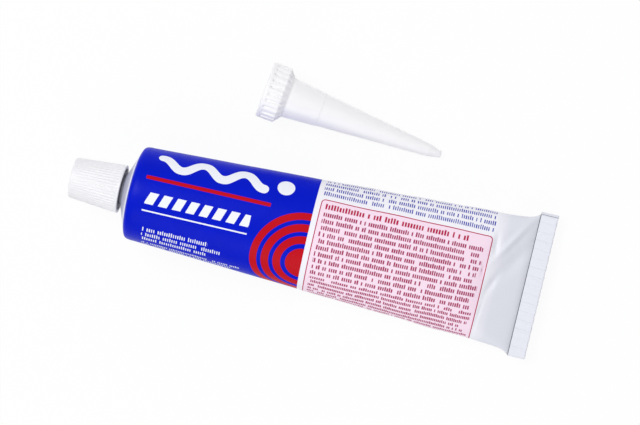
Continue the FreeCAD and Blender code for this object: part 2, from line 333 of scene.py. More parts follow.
def centre_height(station):
    """Height of the body's middle. Past the resting stretch it goes straight on."""
    lying = np.clip(station, RIGID_LENGTH, RESTING_STATION)
    inner = np.maximum(lying, RIGID_LENGTH + SLOPE_STEP)
    slope = (lying_centre(inner) - lying_centre(inner - SLOPE_STEP)) / SLOPE_STEP
    return lying_centre(lying) + slope * (station - lying)


def centre_slope(station):
    rise = centre_height(station + SLOPE_STEP) - centre_height(station - SLOPE_STEP)
    return rise / (2 * SLOPE_STEP)


# Dents pressed into the top, and creases that stand up: station, across, run along and across, turn, depth
DENTS = [
    (121.6, 11.8, 1.0, 3.0, 0.05, 0.95),
    (119.4, 2.2, 0.6, 1.7, 0.0, 0.60),
    (122.9, -2.0, 1.1, 3.8, -0.35, 0.90),
    (126.3, 13.4, 1.1, 8.5, -0.55, -0.85),
    (128.6, 7.0, 2.2, 7.5, -0.55, 0.75),
    (121.2, -12.5, 0.45, 6.5, -0.08, 0.24),
    (108.0, 15.0, 9.0, 5.0, 0.3, 0.14),
    (96.0, -8.0, 14.0, 6.0, -0.2, 0.10),
    (30.0, 15.5, 16.0, 3.5, 0.05, 0.12),
]

# Slight uneven swell: its depth, its share at the head, and where it sets in and dies out
SWELL_DEPTH = 0.03
SWELL_HEAD_SHARE = 0.35
SWELL_START_RUN = 30.0
SWELL_END_RUN = 12.0
SWELL_END_GAP = 2.0
SWELL_LEAST_HEIGHT = 3.0

wave_random = np.random.default_rng(7)
WAVES = [(wave_random.uniform(14, 40), int(wave_random.integers(1, 6)), wave_random.uniform(0, 6.28),
          wave_random.uniform(0, 6.28)) for _ in range(9)]


def body_row(station):
    """One row of points round the body, at even distances along its outline."""
    share = min(1.0, max(0.0, (station - RIGID_LENGTH) / (FOLD_STATION - RIGID_LENGTH)))
    power = 2 / (2 + share ** 4)
    angle = np.radians(-90) - np.linspace(0, 2 * math.pi, OUTLINE_SAMPLES)
    across, up = np.cos(angle), np.sin(angle)
    y = np.sign(across) * np.abs(across) ** power * body_width(station) / 2
    z = np.sign(up) * np.abs(up) ** power * body_height(station) / 2
    length = np.concatenate([[0], np.cumsum(np.hypot(np.diff(y), np.diff(z)))])
    even = column_share * length[-1]
    y, z = np.interp(even, length, y), np.interp(even, length, z)
    swell = sum(np.sin(2 * math.pi * station / run + a) * np.sin(count * column_turn + b)
                for run, count, a, b in WAVES)
    swell *= smooth((station - RIGID_LENGTH) / SWELL_START_RUN)
    swell *= SWELL_HEAD_SHARE + (1 - SWELL_HEAD_SHARE) * share
    swell *= smooth((FOLD_STATION - SWELL_END_GAP - station) / SWELL_END_RUN)
    scale = 1 + SWELL_DEPTH * swell * 2 / np.maximum(SWELL_LEAST_HEIGHT, body_height(station))
    y, z = y * scale, z * scale
    lean = math.atan(centre_slope(station))
    x = station - z * math.sin(lean)
    z = centre_height(station) + z * math.cos(lean)
    return np.stack([x, y, z], 1)


def press_top(rows):
    """The flat facet above the fold, the dents, and the surface that the tube lies on."""
    x, y, z = rows[..., 0], rows[..., 1], rows[..., 2]
    foot = centre_height(FOLD_STATION) + FLAT_THICKNESS / 2
    plane = foot + FACET_FALL * (FOLD_STATION - x) + FACET_SIDE_SLOPE * y
    top = z > centre_height(x)
    pressed = np.where(top, blend_low(z, plane, FACET_CREASE), z)
    for at, across, long, wide, turn, depth in DENTS:
        along = ((x - at) * math.cos(turn) + (y - across) * math.sin(turn)) / long
        beside = ((y - across) * math.cos(turn) - (x - at) * math.sin(turn)) / wide
        pressed = pressed - np.where(top, depth * np.exp(-along ** 2 - beside ** 2), 0)
    rows[..., 2] = np.maximum(pressed, 0)
    return rows


# Stretches of the body, each with the distance between its rows of points
ROW_STRETCHES = [(RIGID_LENGTH + 1, 108.0, 1.0), (108.0, 131.5, 0.25), (131.5, FOLD_STATION + 0.001, 0.125)]


def make_tube_skin():
    """The body, the shoulder, the neck with its thread and the closed mouth, as one skin."""
    corners = [
        (MEMBRANE_FAN_RADIUS, MOUTH_REACH - MOUTH_DEPTH, 0),
        (MOUTH_RADIUS, MOUTH_REACH - MOUTH_DEPTH, 0.25),
        (MOUTH_RADIUS, MOUTH_REACH, 0.3),
        (NECK_RADIUS, MOUTH_REACH, 0.4, 0.15),
        (NECK_RADIUS, SHOULDER_TOP, 0.7),
        (BODY_RADIUS - RIM_DRAW, RIM_DRAW * SHOULDER_SLOPE, RIM_ROUNDING),
        (BODY_RADIUS, -RIM_DRAW_RUN, RIM_DRAW_ROUNDING),
        (BODY_RADIUS, -RIGID_LENGTH, 0)]
    outline, runs = rounded_outline(corners, spacing=0.7, steps=8)
    neck_run = 3
    radius = np.repeat(outline[:, :1], COLUMNS, 1)
    reach = np.repeat(outline[:, 1:], COLUMNS, 1)
    turn = np.repeat(column_turn[None, :], len(outline), 0)
    on_neck = (runs == neck_run)[:, None]
    radius = radius + np.where(on_neck, THREAD_HEIGHT * ridge(reach, turn, *NECK_THREAD), 0)
    head = NECK_TURNING.rings(radius, reach, turn)
    stations = np.concatenate([np.arange(*stretch) for stretch in ROW_STRETCHES])
    rows = press_top(np.stack([body_row(station) for station in stations]))
    rows = rows + [RIM_CENTRE[0], RIM_CENTRE[1], 0]
    plan = np.stack(np.meshgrid(np.concatenate([-outline[:, 1], stations]),
                                np.linspace(-HALF_ROUND, HALF_ROUND, COLUMNS + 1), indexing="ij"), 2)
    return tube_mesh("tube_skin", np.concatenate([head, rows]), plan / PLAN_SCALE)


# Folded band

crest_random = np.random.default_rng(11)
CREST_SHARES = crest_random.uniform(LEAST_CREST_SHARE, 1.0, 2 * CORRUGATION_COUNT)
STRIP_TILTS = crest_random.uniform(-STRIP_TILT, STRIP_TILT, 2 * CORRUGATION_COUNT)
BAND_STEP = 0.12


def band_wave(along, y):
    """Height of the corrugations: narrow, slightly slanted crests of uneven height between flat strips."""
    pitch = FOLD_WIDTH / CORRUGATION_COUNT
    place = (y + CORRUGATION_SLANT * (along - BAND_WIDTH / 2)) / pitch
    index = np.round(place).astype(int)
    off = (place - index) * pitch
    flank = (pitch - CORRUGATION_CREST - CORRUGATION_VALLEY) / 2
    rise = smooth((CORRUGATION_CREST / 2 + flank - np.abs(off)) / flank) * CREST_SHARES[index]
    strip = np.floor(place).astype(int)
    tilt = STRIP_TILTS[strip] * (place - strip - 0.5) * pitch * (1 - rise)
    return CORRUGATION_DEPTH * (rise - 0.5) + tilt


def make_layer(name, low, high, start_y, end_y, width, rounding):
    """One pressed layer of the band, with rounded edges, that follows the corrugations."""
    middle = (low + high) / 2
    corners = [(0, middle, 0), (0, high, rounding), (width, high, rounding), (width, low, rounding),
               (0, low, rounding), (0, middle, 0)]
    outline, _ = rounded_outline(corners, spacing=0.35, steps=5)
    outline = outline[:-1]
    y = np.linspace(start_y, end_y, round((end_y - start_y) / BAND_STEP) + 1)[:, None]
    edge = np.minimum(y - start_y, end_y - y)
    # The layer's thickness rounds off over its last stretch at either side
    share = np.clip(edge / (0.6 * rounding), 0, 1)
    full = 0.5 + 0.5 * np.sqrt(1 - (1 - share) ** 2)
    ragged = sum(depth * np.sin(rate * y + start) for depth, rate, start in RAGGED_WAVES) - RAGGED_SETBACK
    x = outline[:, 0] + np.where(outline[:, 0] > width / 2, ragged, 0)
    z = middle + (outline[:, 1] - middle) * full + band_wave(outline[:, 0], y)
    slope = centre_slope(FOLD_STATION)
    along = np.array([1, 0, slope]) / math.hypot(1, slope)
    above = np.array([-slope, 0, 1]) / math.hypot(1, slope)
    foot = RIM_CENTRE * [1, 1, 0] + [FOLD_STATION, 0, centre_height(FOLD_STATION)]
    rows = foot + x[..., None] * along + y[..., None] * [0, 1, 0] + z[..., None] * above
    plan = np.stack([FOLD_STATION + x, np.repeat(y, len(outline), 1)], 2)
    return tube_mesh(name, rows, np.concatenate([plan, plan[:, :1]], 1) / PLAN_SCALE)


def make_band():
    """The pressed walls below, and the layer that the fold adds on top of them."""
    half = FOLD_WIDTH / 2
    middle = LOWER_LAYER / 2
    lower = make_layer("band_lower_layer", -middle, middle, -half, half + LOWER_OVERHANG,
                       BAND_WIDTH, LOWER_ROUNDING)
    upper = make_layer("band_upper_layer", middle, middle + UPPER_LAYER, -half, half,
                       BAND_WIDTH - UPPER_SETBACK, UPPER_ROUNDING)
    return [lower, upper]


# Screw cap and liner

def grooves(turn, radius, count, width):
    """How deep into a ring of lengthwise grooves each place is, from 0 to 1."""
    share = turn * count / (2 * math.pi)
    off = np.abs(share - np.round(share)) * 2 * math.pi * radius / count
    flank = width / 2
    return smooth(((width + flank) / 2 - off) / flank)


CAP_COLUMNS_PER_GROOVE = 8
LINER_COLUMNS = 96


def make_cap():
    """The cap as one skin, from the point in its recess over the outside to the roof above the liner."""
    floor = ROOF_REACH + CAP_ROOF
    lip = CAP_BASE_RADIUS - CAP_LIP_WIDTH
    corners = [
        (FAN_RADIUS, CAP_END_REACH - POINT_BELOW_END, 0),
        (POINT_TIP_RADIUS, CAP_END_REACH - POINT_BELOW_END, 0.15),
        (POINT_RADIUS, floor, 0.3),
        (RECESS_RADIUS, floor, 0.4),
        (RECESS_RADIUS, CAP_END_REACH, 0.25),
        (CAP_END_RADIUS, CAP_END_REACH, 0.5, 0.3),
        (CAP_BASE_RADIUS, CAP_BASE_REACH, 0.3),
        (lip, CAP_BASE_REACH, 0.3),
        (lip, CAP_BASE_REACH + CAP_LIP_DEPTH, 0.2),
        (BORE_RADIUS, CAP_BASE_REACH + CAP_LIP_DEPTH, 0.3, 0.16),
        (BORE_RADIUS, ROOF_REACH, 0.3),
        (FAN_RADIUS, ROOF_REACH, 0)]
    outline, runs = rounded_outline(corners, spacing=0.5, steps=5)
    outside_run, bore_run = 5, 9
    columns = CAP_GROOVES * CAP_COLUMNS_PER_GROOVE
    radius, reach, turn = turned_places(outline, columns)
    low = CAP_BASE_REACH + CAP_COLLAR
    high = CAP_END_REACH - CAP_PLAIN_END
    window = smooth((reach - low) / CAP_GROOVE_END_RUN + 0.5)
    window = window * smooth((high - reach) / CAP_GROOVE_END_RUN + 0.5)
    depth = np.interp(reach, (low, high), (CAP_GROOVE_DEPTH, CAP_GROOVE_END_DEPTH))
    cut = grooves(turn, radius, CAP_GROOVES, CAP_GROOVE_WIDTH) * window * depth
    radius = radius - np.where((runs == outside_run)[:, None], cut, 0)
    lowest = CAP_BASE_REACH + CAP_LIP_DEPTH + THREAD_ROOT_WIDTH / 2
    turns_up = math.ceil((lowest - NECK_THREAD[0]) / THREAD_PITCH - 0.5) + 0.5
    start = NECK_THREAD[0] + turns_up * THREAD_PITCH
    inner = ridge(reach, turn, start, MOUTH_REACH - THREAD_ROOT_WIDTH / 2)
    radius = radius - np.where((runs == bore_run)[:, None], inner * (BORE_RADIUS - INNER_CREST_RADIUS), 0)
    return tube_mesh("cap_shell", NECK_TURNING.rings(radius, reach, turn))


def make_liner():
    low = MOUTH_REACH + SEAT_GAP
    corners = [(FAN_RADIUS, low + LINER_THICKNESS, 0), (LINER_RADIUS, low + LINER_THICKNESS, 0.15),
               (LINER_RADIUS, low, 0.15), (FAN_RADIUS, low, 0)]
    outline, _ = rounded_outline(corners, spacing=0.5, steps=4)
    radius, reach, turn = turned_places(outline, LINER_COLUMNS)
    return tube_mesh("liner_disc", NECK_TURNING.rings(radius, reach, turn))


# Nozzle

def nozzle_radius_at(station):
    share = (station - NOZZLE_CHAMFER_END) / (NOZZLE_CONE_END - NOZZLE_CHAMFER_END)
    return NOZZLE_CONE_BASE + (NOZZLE_CONE_TOP - NOZZLE_CONE_BASE) * share


NOZZLE_COLUMNS_PER_GROOVE = 14


def make_nozzle():
    """The nozzle as one skin, from its closed tip over the collar and up the socket into the passage."""
    step = nozzle_radius_at(NOZZLE_STEP_AT)
    passage_end = NOZZLE_LENGTH - NOZZLE_CLOSED_END
    corners = [
        (FAN_RADIUS, NOZZLE_LENGTH, 0),
        (NOZZLE_TIP_RADIUS, NOZZLE_LENGTH, 0.4),
        (NOZZLE_CONE_TOP, NOZZLE_CONE_END, 0.8),
        (step - NOZZLE_STEP, NOZZLE_STEP_AT + NOZZLE_STEP_RUN / 2, 0.1),
        (step, NOZZLE_STEP_AT - NOZZLE_STEP_RUN / 2, 0.1),
        (NOZZLE_CONE_BASE, NOZZLE_CHAMFER_END, 0.5, 0.25),
        (NOZZLE_RADIUS, NOZZLE_COLLAR, 0.4, 0.25),
        (NOZZLE_RADIUS, 0, 0.3),
        (BORE_RADIUS, 0, 0.3, 0.16),
        (BORE_RADIUS, SOCKET_DEPTH, 0.2),
        (nozzle_radius_at(SOCKET_DEPTH) - NOZZLE_WALL, SOCKET_DEPTH, 0.1, 2.0),
        (NOZZLE_PASSAGE_END, passage_end, 0.2),
        (FAN_RADIUS, passage_end, 0)]
    outline, runs = rounded_outline(corners, spacing=1.0, steps=4)
    chamfer_run, collar_run, bore_run = 5, 6, 8
    columns = NOZZLE_GROOVES * NOZZLE_COLUMNS_PER_GROOVE
    radius, reach, turn = turned_places(outline, columns)
    on_collar = np.isin(runs, (chamfer_run, collar_run))[:, None]
    window = smooth((reach - NOZZLE_PLAIN_RIM) / NOZZLE_GROOVE_END_RUN + 0.5)
    window = window * np.clip((NOZZLE_CHAMFER_END - reach) / NOZZLE_CHAMFER, 0, 1)
    cut = grooves(turn, radius, NOZZLE_GROOVES, NOZZLE_GROOVE_WIDTH) * window * NOZZLE_GROOVE_DEPTH
    radius = radius - np.where(on_collar, cut, 0)
    inner = ridge(reach, turn, NOZZLE_RIDGE_START, SOCKET_DEPTH - NOZZLE_RIDGE_END)
    radius = radius - np.where((runs == bore_run)[:, None], inner * (BORE_RADIUS - INNER_CREST_RADIUS), 0)
    axis = -np.array(socket_mount["axis"], float)
    axis /= np.linalg.norm(axis)
    side = np.cross([0, 0, 1], axis)
    side /= np.linalg.norm(side)
    turning = Turning(np.array(socket_mount["pos_m"]) / MM, axis, np.cross(side, axis))
    return tube_mesh("nozzle_shell", turning.rings(radius, reach, turn))


# Materials

class Signal:
    """A number that varies over a surface. Arithmetic on it adds nodes to its tree."""

    def __init__(self, tree, socket):
        self.tree, self.socket = tree, socket

    def join(self, operation, *others, clamp=False):
        node = self.tree.nodes.new("ShaderNodeMath")
        node.operation, node.use_clamp = operation, clamp
        for slot, value in enumerate((self,) + others):
            if isinstance(value, Signal):
                self.tree.links.new(value.socket, node.inputs[slot])
            else:
                node.inputs[slot].default_value = value
        return Signal(self.tree, node.outputs[0])

    def __add__(self, other):
        return self.join("ADD", other)

    def __sub__(self, other):
        return self.join("SUBTRACT", other)

    def __mul__(self, other):
        return self.join("MULTIPLY", other)

    def __truediv__(self, other):
        return self.join("DIVIDE", other)

    def __neg__(self):
        return self.join("MULTIPLY", -1.0)

    def absolute(self):
        return self.join("ABSOLUTE")

    def low(self, other):
        return self.join("MINIMUM", other)

    def high(self, other):
        return self.join("MAXIMUM", other)

    def floor(self):
        return self.join("FLOOR")

    def fraction(self):
        return self.join("FRACT")

    def over(self, limit):
        return self.join("GREATER_THAN", limit)

    def sine(self):
        return self.join("SINE")

    def squared(self):
        return self * self

    def root(self):
        return self.join("SQRT")

    def inside(self, softness=0.06):
        """1 where this distance is below zero, with an edge of that softness in millimetres."""
        return (self / -softness).join("ADD", 0.5, clamp=True)

    def either(self, other):
        return self.high(other)


def rectangle(s, w, left, right, low, high, rounding=0.0):
    """Distance outside a rectangle in the print, with rounded corners."""
    along = (s - (left + right) / 2).absolute() - ((right - left) / 2 - rounding)
    across = (w - (low + high) / 2).absolute() - ((high - low) / 2 - rounding)
    outer = (along.high(0.0).squared() + across.high(0.0).squared()).root()
    return outer + along.high(across).low(0.0) - rounding


def circle(s, w, centre, radius):
    return ((s - centre[0]).squared() + (w - centre[1]).squared()).root() - radius


def wandering_line(s, w, left, right, middle, swing, wavelength, thickness):
    """Distance outside a round-ended line of even thickness that swings from side to side.
    It starts on a crest, and ends on one where its length is a number of half waves."""
    rate = 2 * math.pi / wavelength
    bend = ((s - left) * rate + math.pi / 2).sine() * swing
    slope = ((s - left) * rate).sine() * (swing * rate)
    beside = (w - middle - bend).absolute() / (slope.squared() + 1.0).root() - thickness / 2
    line = beside.high((s - (left + right) / 2).absolute() - (right - left) / 2)
    for end in (left, right):
        centre = (end, middle + swing * math.cos((end - left) * rate))
        line = line.low(circle(s, w, centre, thickness / 2))
    return line


def frame_line(distance, thickness):
    """Distance outside a line drawn along the edge of a shape."""
    return distance.absolute() - thickness / 2


# Rows of small marks. Each mark stands in a cell of its row, and these are shares of a cell or of a row
ROW_SHIFT = 0.37
EMPTY_CELLS = 0.15
LOWER_MARKS = 0.75
EXTRA_HEIGHT = 0.12
EXTRA_WEIGHT = 0.16
MARK_TOP = 0.27
MARK_FOOT = 0.84
MARK_SOFTNESS = 0.1
RAGGED_RATE = 1.7


def fine_rows_group():
    """A node group for rows of small upright marks with gaps between them, in no script."""
    group = bpy.data.node_groups.new("fine_rows", "ShaderNodeTree")
    for name in ("Along", "Down", "Pitch", "Cell", "Weight", "Seed"):
        group.interface.new_socket(name, in_out="INPUT", socket_type="NodeSocketFloat")
    group.interface.new_socket("Mask", in_out="OUTPUT", socket_type="NodeSocketFloat")
    inputs = group.nodes.new("NodeGroupInput")
    outputs = group.nodes.new("NodeGroupOutput")
    value = {socket.name: Signal(group, socket) for socket in inputs.outputs if socket.name}
    row = value["Down"] / value["Pitch"]
    row_number = row.floor()
    row_place = row.fraction()
    along = value["Along"] / value["Cell"] + row_number * ROW_SHIFT
    cell = along.floor()
    cell_place = along.fraction()

    def chance(salt):
        """A number from 0 to 1 that is each cell's own, and another one for each salt."""
        combine = group.nodes.new("ShaderNodeCombineXYZ")
        group.links.new(cell.socket, combine.inputs[0])
        group.links.new((row_number + salt).socket, combine.inputs[1])
        group.links.new(value["Seed"].socket, combine.inputs[2])
        noise = group.nodes.new("ShaderNodeTexWhiteNoise")
        noise.noise_dimensions = "3D"
        group.links.new(combine.outputs[0], noise.inputs["Vector"])
        return Signal(group, noise.outputs["Value"])

    drawn = chance(salt=0.0).over(EMPTY_CELLS)
    taller = chance(salt=31.0).over(LOWER_MARKS) * EXTRA_HEIGHT
    thick = chance(salt=83.0) * EXTRA_WEIGHT + value["Weight"]
    upright = ((cell_place - 0.5).absolute() - thick / 2).inside(MARK_SOFTNESS)
    below_top = (-taller + MARK_TOP - row_place).inside(MARK_SOFTNESS)
    inside_row = below_top * (row_place - MARK_FOOT).inside(MARK_SOFTNESS)
    mark = upright * inside_row * drawn
    group.links.new(mark.socket, outputs.inputs["Mask"])
    return group


FINE_ROWS = fine_rows_group()


def fine_rows(s, w, left, right, low, high, pitch, cell, weight, seed, ragged=0.0):
    """A block of rows of small marks, which hangs from its upper edge. Its right side may be ragged."""
    node = s.tree.nodes.new("ShaderNodeGroup")
    node.node_tree = FINE_ROWS
    down = -w + high
    s.tree.links.new((s - left).socket, node.inputs["Along"])
    s.tree.links.new(down.socket, node.inputs["Down"])
    for name, value in (("Pitch", pitch), ("Cell", cell), ("Weight", weight), ("Seed", seed)):
        node.inputs[name].default_value = value
    edge = rectangle(s, w, left, right, low, high).inside(0.02)
    if ragged:
        row = (down / pitch).floor()
        shorter = ((row * RAGGED_RATE + seed).sine() * 0.5 + 0.5) * ragged
        edge = edge * (s - right + shorter).inside(0.05)
    return Signal(s.tree, node.outputs["Mask"]) * edge


def mix_colour(tree, share, below, above):
    node = tree.nodes.new("ShaderNodeMix")
    node.data_type = "RGBA"
    colour_slots = [socket for socket in node.inputs if socket.type == "RGBA"]
    tree.links.new(share.socket, node.inputs[0])
    for slot, colour in zip(colour_slots, (below, above)):
        if isinstance(colour, tuple):
            slot.default_value = colour + (1.0,)
        else:
            tree.links.new(colour, slot)
    return [socket for socket in node.outputs if socket.type == "RGBA"][0]


def screen_colour(red, green, blue):
    """A colour written as it looks on a screen, from 0 to 255, as the renderer's linear one."""
    def linear(value):
        share = value / 255
        return share / 12.92 if share <= 0.04045 else ((share + 0.055) / 1.055) ** 2.4
    return (linear(red), linear(green), linear(blue))


LACQUER_WHITE = screen_colour(250, 250, 254)
LACQUER_SHADE = screen_colour(244, 244, 251)
# A darker, bluer white towards the fold
FOLD_SIDE_WHITE = screen_colour(230, 232, 240)
PRESSED_WHITE = screen_colour(235, 237, 245)
# Painted highlight along the edge of the rim
RIM_PAINTED_HIGHLIGHT = screen_colour(240, 243, 254)
# Painted shade on the shoulder, in the gap under the cap
SHOULDER_PAINTED_SHADE = screen_colour(192, 194, 212)
INK_BLUE = screen_colour(0, 27, 209)
INK_BLUE_SHADE = screen_colour(0, 23, 191)
INK_WHITE = screen_colour(244, 247, 254)
INK_RED = screen_colour(196, 14, 30)
INK_CRIMSON = screen_colour(186, 30, 78)
INK_PLUM = screen_colour(167, 42, 94)
INK_ROW_BLUE = screen_colour(48, 58, 172)
PANEL_PINK = screen_colour(252, 228, 243)
METAL = screen_colour(150, 150, 150)
# Grey of the painted shade in the gaps at the fold and at the upper layer's end
SEAM_PAINTED_SHADE = screen_colour(60, 62, 74)
PLASTIC_WHITE = screen_colour(244, 244, 245)
PLASTIC_SHADE = screen_colour(238, 238, 241)
NOZZLE_WHITE = screen_colour(253, 253, 254)
NOZZLE_SHADE = screen_colour(252, 252, 253)
FOAM_WHITE = screen_colour(236, 235, 230)
# Painted shade at the bottoms of the foam's pores
FOAM_PORE_SHADE = screen_colour(214, 212, 204)

# Layout of the print: stations along the tube, and arc lengths from the middle of its printed side
BLUE_FROM = -0.75
BLUE_TO = 60.0
# Width of the painted highlight at the rim
RIM_HIGHLIGHT_WIDTH = 0.7
# Station from which the white turns darker towards the fold
DARKENING_FROM = 122.0
BEAD = dict(left=7.5, right=42.5, middle=15.4, swing=2.1, wavelength=14.0, thickness=3.2)
DROP = dict(centre=(49.5, 15.6), radius=2.9)
STRIPE = dict(left=4.0, right=46.0, low=7.6, high=8.9, rounding=0.3)
BLOCK_ROW = dict(left=5.4, right=40.6, low=-0.7, high=3.3)
BLOCK_PITCH = 4.6
BLOCK_WIDTH = 2.9
BLOCK_SLANT = 0.35
THIN_LINE = dict(left=5.0, right=40.5, low=-3.3, high=-2.8)
WHITE_ROWS = dict(left=6.0, right=33.0, low=-16.4, high=-9.0,
                  pitch=2.45, cell=0.74, weight=0.42, seed=3.0, ragged=8.0)
SMALL_WHITE_ROWS = dict(left=6.0, right=40.0, low=-27.0, high=-17.4,
                        pitch=1.7, cell=0.6, weight=0.42, seed=5.0, ragged=4.0)
RING_CENTRE = (BLUE_TO, -9.0)
RING_DISC = 5.4
RINGS = ((8.3, 2.6), (12.3, 2.6), (16.2, 2.4))
BLUE_ROWS = dict(left=61.8, right=119.5, low=15.6, high=29.0, pitch=2.25, cell=0.7, weight=0.43, seed=11.0)
PANEL = dict(left=62.0, right=119.5, low=-24.5, high=14.2, rounding=1.2)
PANEL_LINE = 0.32
HEAD_ROW = dict(left=63.4, right=112.0, low=10.6, high=13.3, pitch=2.7, cell=0.95, weight=0.55, seed=17.0)
PANEL_ROWS = dict(left=63.4, right=118.4, low=-13.6, high=10.4,
                  pitch=2.25, cell=0.72, weight=0.58, seed=19.0, ragged=2.0)
SMALL_PANEL_ROWS = dict(left=63.4, right=118.4, low=-23.6, high=-13.8,
                        pitch=1.75, cell=0.6, weight=0.6, seed=23.0, ragged=3.0)

# Painted shade in the gaps along the fold and at the upper layer's end, and how much of it shows
SEAM_OFFSET = 0.05
FOLD_SEAM_WIDTH = 0.26
FOLD_SHADE_SHARE = 0.7
END_SEAM_WIDTH = 0.2
END_SHADE_SHARE = 0.45
BARE_METAL_AFTER = 0.2

# Surfaces
LACQUER_ROUGHNESS = 0.28
LACQUER_ROUGHNESS_SPREAD = 0.14
LACQUER_SPECULAR = 0.07
LACQUER_GRAIN_MM = 0.12
FINE_GRAIN_SHARE = 0.35
PLASTIC_ROUGHNESS_SPREAD = 0.12
PLASTIC_SPECULAR = 0.4
PLASTIC_SCATTER_SHARE = 0.25
PLASTIC_GRAIN_MM = 0.015
FOAM_ROUGHNESS = 0.85
FOAM_PALE_SHARE = 0.6
PORE_SIZE_MM = 0.35
PORE_DEPTH_MM = 0.08


def new_material(name):
    material = bpy.data.materials.new(name)
    material.use_nodes = True
    tree = material.node_tree
    tree.nodes.clear()
    shader = tree.nodes.new("ShaderNodeBsdfPrincipled")
    output = tree.nodes.new("ShaderNodeOutputMaterial")
    tree.links.new(shader.outputs[0], output.inputs["Surface"])
    return material, tree, shader


def noise_signal(tree, size_mm, detail):
    """A soft random pattern whose spots are about that large."""
    place = tree.nodes.new("ShaderNodeTexCoord")
    noise = tree.nodes.new("ShaderNodeTexNoise")
    noise.inputs["Scale"].default_value = 1 / (size_mm * MM)
    noise.inputs["Detail"].default_value = detail
    tree.links.new(place.outputs["Object"], noise.inputs["Vector"])
    return Signal(tree, noise.outputs[0])


def add_bump(tree, shader, height, depth_mm):
    bump = tree.nodes.new("ShaderNodeBump")
    bump.inputs["Distance"].default_value = depth_mm * MM
    tree.links.new(height.socket, bump.inputs["Height"])
    tree.links.new(bump.outputs[0], shader.inputs["Normal"])


def print_artwork(tree, s, w):
    """The tube's lacquer and its generic print, as one colour."""
    cloud = noise_signal(tree, size_mm=7.0, detail=3.0)
    white = mix_colour(tree, cloud, LACQUER_WHITE, LACQUER_SHADE)
    ink = mix_colour(tree, cloud, INK_BLUE, INK_BLUE_SHADE)
    # The lacquer has a painted highlight at the rim and painted shade over the shoulder under the cap, and
    # it is darker towards the fold
    white = mix_colour(tree, (s - BLUE_FROM).inside(0.2), white, RIM_PAINTED_HIGHLIGHT)
    white = mix_colour(tree, (s - BLUE_FROM + RIM_HIGHLIGHT_WIDTH).inside(0.6), white, SHOULDER_PAINTED_SHADE)
    white = mix_colour(tree, (-s + DARKENING_FROM).inside(5.0), white, FOLD_SIDE_WHITE)
    # The blue field goes all the way round
    blue = rectangle(s, w, BLUE_FROM, BLUE_TO, -1.2 * HALF_ROUND, 1.2 * HALF_ROUND).inside()
    colour = mix_colour(tree, blue, white, ink)
    # A wandering bead that ends in a drop
    bead = wandering_line(s, w, **BEAD).low(circle(s, w, **DROP))
    colour = mix_colour(tree, bead.inside(), colour, INK_WHITE)
    colour = mix_colour(tree, rectangle(s, w, **STRIPE).inside(), colour, INK_RED)
    # A row of slanted blocks
    slanted = (s - w * BLOCK_SLANT) / BLOCK_PITCH
    block = (slanted.fraction() - 0.5).absolute() * BLOCK_PITCH - BLOCK_WIDTH / 2
    block = block.high(rectangle(s, w, **BLOCK_ROW))
    colour = mix_colour(tree, block.inside(), colour, INK_WHITE)
    colour = mix_colour(tree, rectangle(s, w, **THIN_LINE).inside(), colour, INK_WHITE)
    marks = fine_rows(s, w, **WHITE_ROWS).either(fine_rows(s, w, **SMALL_WHITE_ROWS))
    colour = mix_colour(tree, marks, colour, INK_WHITE)
    # Rings that spread from the field's edge
    rings = circle(s, w, RING_CENTRE, RING_DISC)
    for radius, thickness in RINGS:
        rings = rings.low(frame_line(circle(s, w, RING_CENTRE, radius), thickness))
    colour = mix_colour(tree, rings.inside() * blue, colour, INK_RED)
    return print_panel(tree, s, w, colour)


def print_panel(tree, s, w, colour):
    """The white half's rows of marks, and its outlined panel with rows of its own."""
    colour = mix_colour(tree, fine_rows(s, w, **BLUE_ROWS), colour, INK_ROW_BLUE)
    panel = rectangle(s, w, **PANEL)
    colour = mix_colour(tree, panel.inside(), colour, PANEL_PINK)
    rows = fine_rows(s, w, **PANEL_ROWS).either(fine_rows(s, w, **SMALL_PANEL_ROWS))
    colour = mix_colour(tree, rows, colour, INK_PLUM)
    outline = frame_line(panel, PANEL_LINE).inside()
    return mix_colour(tree, outline.either(fine_rows(s, w, **HEAD_ROW)), colour, INK_CRIMSON)


def tube_material():
    """Printed lacquer over metal, which is bare on the neck."""
    material, tree, shader = new_material("printed_lacquer")
    plan = tree.nodes.new("ShaderNodeUVMap")
    plan.uv_map = "print_plan"
    split = tree.nodes.new("ShaderNodeSeparateXYZ")
    tree.links.new(plan.outputs[0], split.inputs[0])
    s = Signal(tree, split.outputs[0]) * PLAN_SCALE
    w = Signal(tree, split.outputs[1]) * PLAN_SCALE
    colour = print_artwork(tree, s, w)
    bare = (s + SHOULDER_TOP + BARE_METAL_AFTER).inside(0.3)
    colour = mix_colour(tree, bare, colour, METAL)
    colour = mix_colour(tree, (-s + FOLD_STATION).inside(0.2), colour, PRESSED_WHITE)
    # Painted shade: grey lines in the gaps along the fold and at the upper layer's end
    fold = frame_line(s - FOLD_STATION + SEAM_OFFSET, FOLD_SEAM_WIDTH)
    end = frame_line(w - FOLD_WIDTH / 2 - SEAM_OFFSET, END_SEAM_WIDTH).high(-s + FOLD_STATION)
    colour = mix_colour(tree, fold.inside(0.1) * FOLD_SHADE_SHARE, colour, SEAM_PAINTED_SHADE)
    colour = mix_colour(tree, end.inside(0.1) * END_SHADE_SHARE, colour, SEAM_PAINTED_SHADE)
    tree.links.new(colour, shader.inputs["Base Color"])
    shader.inputs["Specular IOR Level"].default_value = LACQUER_SPECULAR
    tree.links.new(bare.socket, shader.inputs["Metallic"])
    gloss = noise_signal(tree, size_mm=2.5, detail=4.0) * LACQUER_ROUGHNESS_SPREAD + LACQUER_ROUGHNESS
    tree.links.new(gloss.socket, shader.inputs["Roughness"])
    grain = noise_signal(tree, size_mm=0.5, detail=2.0) * FINE_GRAIN_SHARE
    grain = grain + noise_signal(tree, size_mm=9.0, detail=2.0)
    add_bump(tree, shader, grain, LACQUER_GRAIN_MM)
    return material


